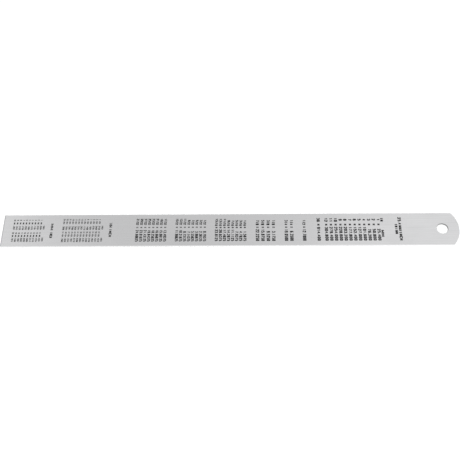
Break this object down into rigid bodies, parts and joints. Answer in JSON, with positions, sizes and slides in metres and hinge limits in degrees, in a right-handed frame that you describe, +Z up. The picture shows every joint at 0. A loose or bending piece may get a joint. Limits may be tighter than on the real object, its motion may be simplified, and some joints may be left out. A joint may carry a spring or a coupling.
{
  "type": "straight ruler",
  "caption": "Flat stainless steel rule with a square end, a rounded hanging end with a hole, etched inch and millimetre scales on one face and printed conversion tables on the other.",
  "frame": {"origin": "middle of the rule's underside, which is the graduated face that it lies on", "axes": "+X along the rule from the square end to the rounded hanging end, +Z up through its thickness"},
  "size_m": [0.315, 0.0254, 0.001],
  "materials": {
    "stainless_steel": "satin, finely brushed along its length",
    "black_ink": "matt black fired ink"
  },
  "bodies": {
    "root": {"blade": "stainless_steel", "table_print": "black_ink"}
  },
  "joints": []
}
